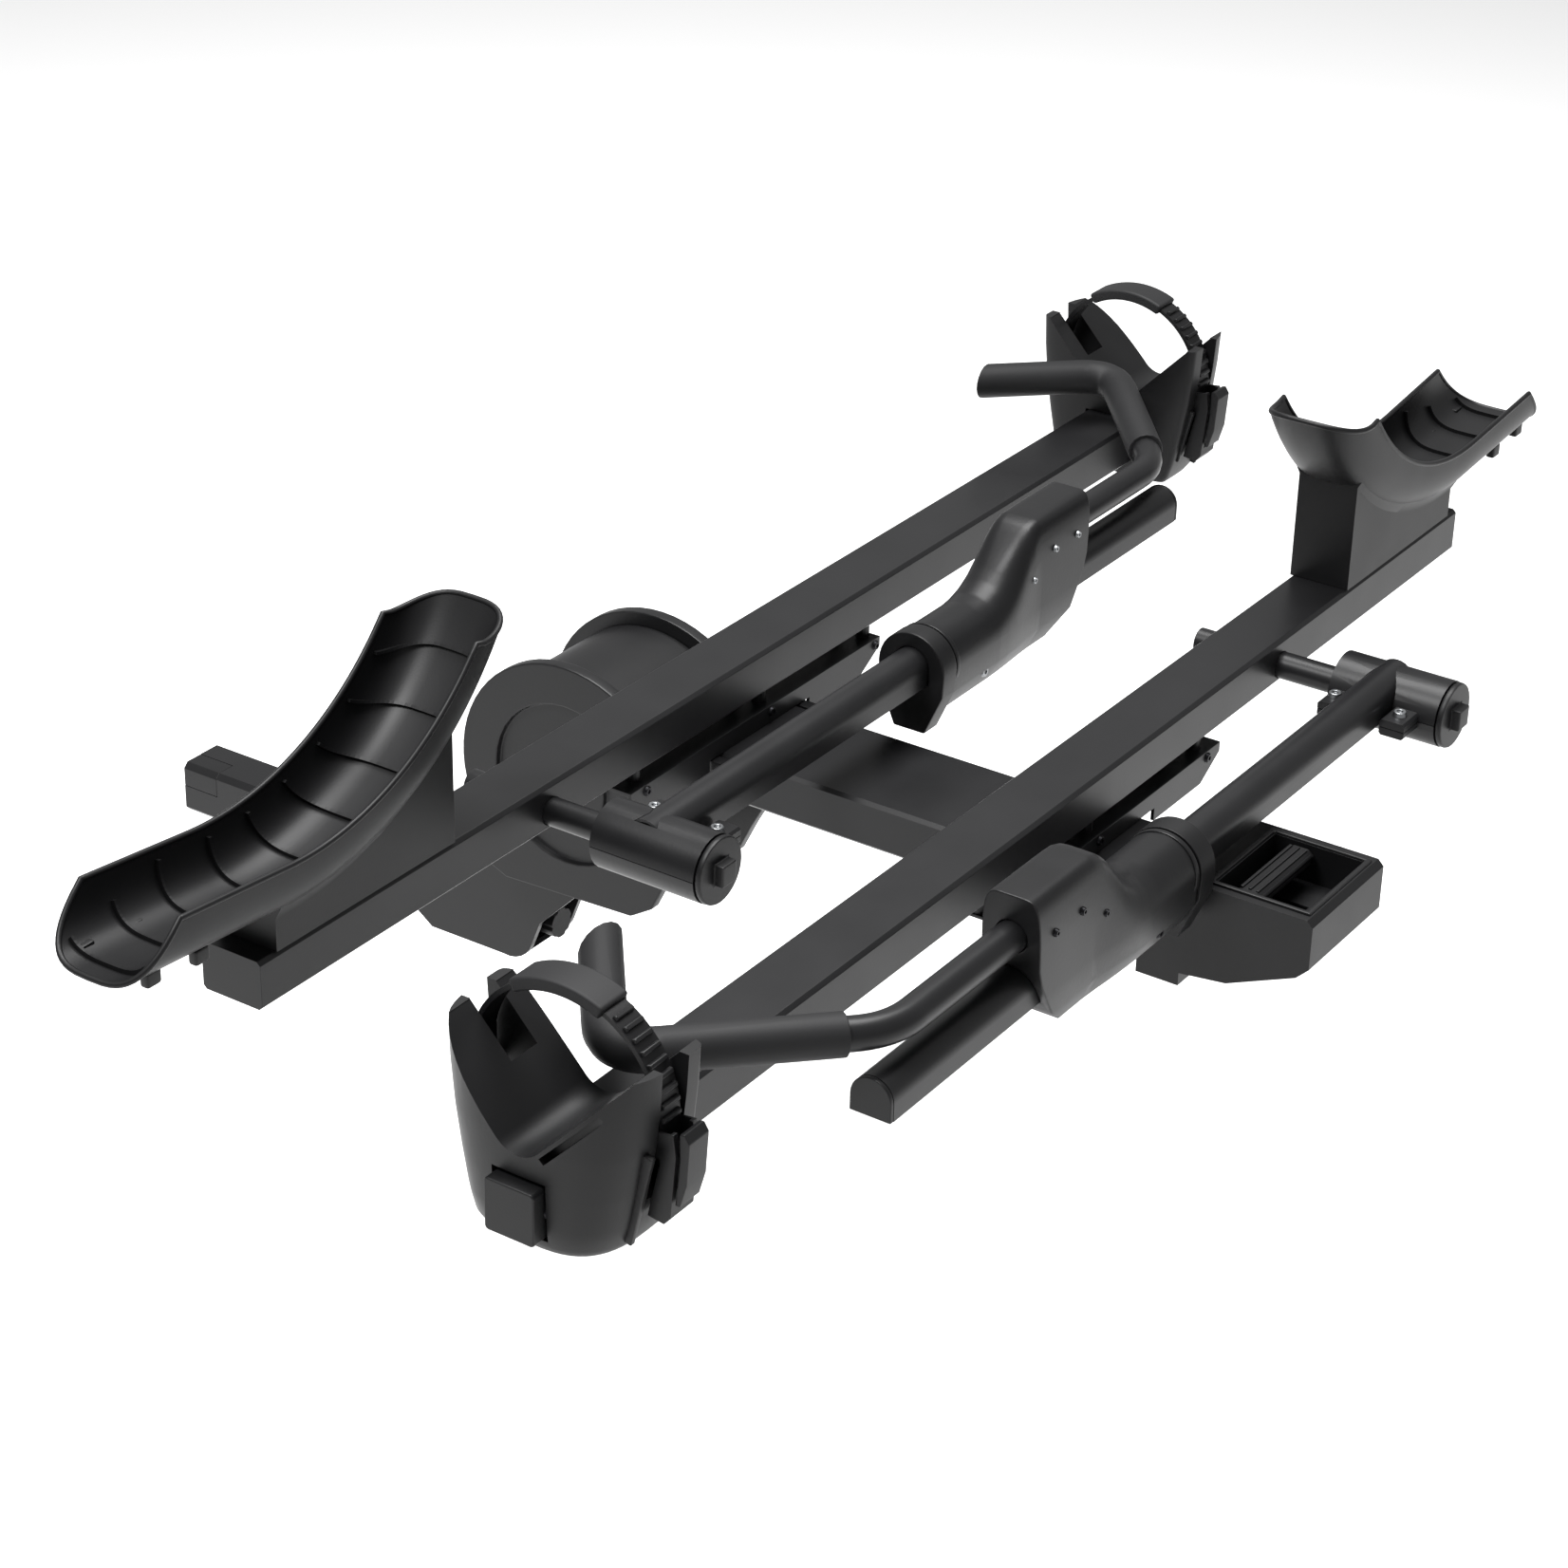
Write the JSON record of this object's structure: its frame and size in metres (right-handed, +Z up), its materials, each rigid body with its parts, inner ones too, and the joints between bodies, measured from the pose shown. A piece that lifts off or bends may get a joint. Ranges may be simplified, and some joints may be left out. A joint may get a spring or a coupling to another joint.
{
  "type": "hitch mounted bike rack",
  "caption": "Folding platform bike rack for a hitch receiver: two wheel trays across a tilting mast, each with a sliding hook arm, a wheel scoop and a strapped wheel cup.",
  "frame": {"origin": "centre of the hitch pin hole, on the axis of the tongue", "axes": "+X along the wheel trays, +Y along the tongue towards the vehicle, +Z up"},
  "size_m": [1.518, 1.167, 0.5272],
  "materials": {
    "powder_coat": "satin",
    "cast_black": "satin",
    "black_plastic": "textured",
    "soft_plastic": "matt",
    "black_rubber": "matt",
    "zinc_plate": "satin",
    "dark_steel": "satin"
  },
  "bodies": {
    "base": {"hitch_tongue": "powder_coat", "riser_left": "powder_coat", "riser_right": "powder_coat", "riser_web": "cast_black", "pivot_hood": "black_plastic", "pivot_bolt": "zinc_plate"},
    "knob": {"attach_knob": "black_plastic", "draw_rod": "dark_steel"},
    "wedge": {"anti_rattle_wedge": "cast_black"},
    "mast": {"mast_tube": "powder_coat", "pivot_cover_left": "cast_black", "pivot_cover_right": "cast_black", "handle_shell": "black_plastic", "lever_pin": "zinc_plate", "lock_spring": "zinc_plate", "front_tray_beam": "powder_coat", "front_saddle_bracket": "powder_coat", "front_wheel_scoop": "black_plastic", "front_scoop_pedestal": "black_plastic", "front_wheel_cup": "black_plastic", "front_cup_block": "black_plastic", "front_strap_buckle": "black_plastic", "front_pivot_shaft": "powder_coat", "front_shaft_end_cap": "black_plastic", "rear_tray_beam": "powder_coat", "rear_saddle_bracket": "powder_coat", "rear_wheel_scoop": "black_plastic", "rear_scoop_pedestal": "black_plastic", "rear_wheel_cup": "black_plastic", "rear_cup_block": "black_plastic", "rear_strap_buckle": "black_plastic", "rear_pivot_shaft": "powder_coat", "rear_shaft_end_cap": "black_plastic"},
    "lever": {"tilt_lever": "soft_plastic"},
    "lock": {"lock_rod": "dark_steel"},
    "front_arm": {"front_clamp_upper": "cast_black", "front_clamp_lower": "cast_black", "front_arm_tube": "powder_coat", "front_arm_plug": "black_plastic"},
    "front_head": {"front_ratchet_head": "cast_black", "front_hook_rod": "powder_coat", "front_hook_sleeve": "black_rubber"},
    "front_collar": {"front_release_collar": "black_plastic"},
    "front_pawl": {"front_ratchet_pawl": "dark_steel"},
    "front_strap": {"front_ladder_strap": "soft_plastic", "front_strap_pad": "black_rubber"},
    "front_buckle": {"front_buckle_lever": "black_plastic"},
    "rear_arm": {"rear_clamp_upper": "cast_black", "rear_clamp_lower": "cast_black", "rear_arm_tube": "powder_coat", "rear_arm_plug": "black_plastic"},
    "rear_head": {"rear_ratchet_head": "cast_black", "rear_hook_rod": "powder_coat", "rear_hook_sleeve": "black_rubber"},
    "rear_collar": {"rear_release_collar": "black_plastic"},
    "rear_pawl": {"rear_ratchet_pawl": "dark_steel"},
    "rear_strap": {"rear_ladder_strap": "soft_plastic", "rear_strap_pad": "black_rubber"},
    "rear_buckle": {"rear_buckle_lever": "black_plastic"}
  },
  "joints": [
    {"name": "knob_turn", "type": "hinge", "parent": "base", "child": "knob", "pos_m": [0, -0.32, -0.013], "axis": [0, 1, 0], "range_deg": [0, 720]},
    {"name": "wedge_draw", "type": "slide", "parent": "base", "child": "wedge", "axis": [-0.7071, 0, 0.7071], "range_m": [0, 0.0025]},
    {"name": "mast_fold", "type": "hinge", "parent": "base", "child": "mast", "pos_m": [0, -0.41, 0.172], "axis": [-1, 0, 0], "range_deg": [-35, 90]},
    {"name": "tilt_lever_squeeze", "type": "hinge", "parent": "mast", "child": "lever", "pos_m": [0, -1.026, 0.204], "axis": [1, 0, 0], "range_deg": [0, 15], "stiffness_Nm_per_rad": 1, "springref_deg": -17.19},
    {"name": "lock_rod_draw", "type": "slide", "parent": "mast", "child": "lock", "axis": [0, -1, 0], "range_m": [0, 0.0049]},
    {"name": "front_arm_fold", "type": "hinge", "parent": "mast", "child": "front_arm", "pos_m": [-0.2814, -0.6581, 0.2884], "axis": [0, -1, 0], "range_deg": [0, 110]},
    {"name": "front_head_slide", "type": "slide", "parent": "front_arm", "child": "front_head", "axis": [-1, 0, 0], "range_m": [0, 0.27]},
    {"name": "front_collar_pull", "type": "slide", "parent": "front_head", "child": "front_collar", "axis": [-1, 0, 0], "range_m": [0, 0.008], "stiffness_N_per_m": 500, "springref_m": -0.004},
    {"name": "front_pawl_drop", "type": "slide", "parent": "front_head", "child": "front_pawl", "axis": [0, 0, -1], "range_m": [0, 0.004]},
    {"name": "front_strap_lift", "type": "hinge", "parent": "mast", "child": "front_strap", "pos_m": [0.6526, -0.4585, 0.3369], "axis": [-1, 0, 0], "range_deg": [0, 120]},
    {"name": "front_buckle_open", "type": "hinge", "parent": "mast", "child": "front_buckle", "pos_m": [0.6526, -0.6256, 0.3469], "axis": [-1, 0, 0], "range_deg": [0, 35], "stiffness_Nm_per_rad": 0.5, "springref_deg": -5.73},
    {"name": "rear_arm_fold", "type": "hinge", "parent": "mast", "child": "rear_arm", "pos_m": [0.2814, -0.9888, 0.2884], "axis": [0, 1, 0], "range_deg": [0, 110]},
    {"name": "rear_head_slide", "type": "slide", "parent": "rear_arm", "child": "rear_head", "axis": [1, 0, 0], "range_m": [0, 0.27]},
    {"name": "rear_collar_pull", "type": "slide", "parent": "rear_head", "child": "rear_collar", "axis": [1, 0, 0], "range_m": [0, 0.008], "stiffness_N_per_m": 500, "springref_m": -0.004},
    {"name": "rear_pawl_drop", "type": "slide", "parent": "rear_head", "child": "rear_pawl", "axis": [0, 0, -1], "range_m": [0, 0.004]},
    {"name": "rear_strap_lift", "type": "hinge", "parent": "mast", "child": "rear_strap", "pos_m": [-0.6526, -0.7892, 0.3369], "axis": [-1, 0, 0], "range_deg": [0, 120]},
    {"name": "rear_buckle_open", "type": "hinge", "parent": "mast", "child": "rear_buckle", "pos_m": [-0.6526, -0.9563, 0.3469], "axis": [-1, 0, 0], "range_deg": [0, 35], "stiffness_Nm_per_rad": 0.5, "springref_deg": -5.73}
  ],
  "couplings": [
    {"joint": "lock_rod_draw", "follows": "tilt_lever_squeeze", "m_per_rad": 0.0183},
    {"joint": "front_head_slide", "follows": "front_arm_fold", "m_per_rad": 0.1406},
    {"joint": "front_pawl_drop", "follows": "front_collar_pull", "ratio": 0.5},
    {"joint": "rear_head_slide", "follows": "rear_arm_fold", "m_per_rad": 0.1406},
    {"joint": "rear_pawl_drop", "follows": "rear_collar_pull", "ratio": 0.5}
  ]
}
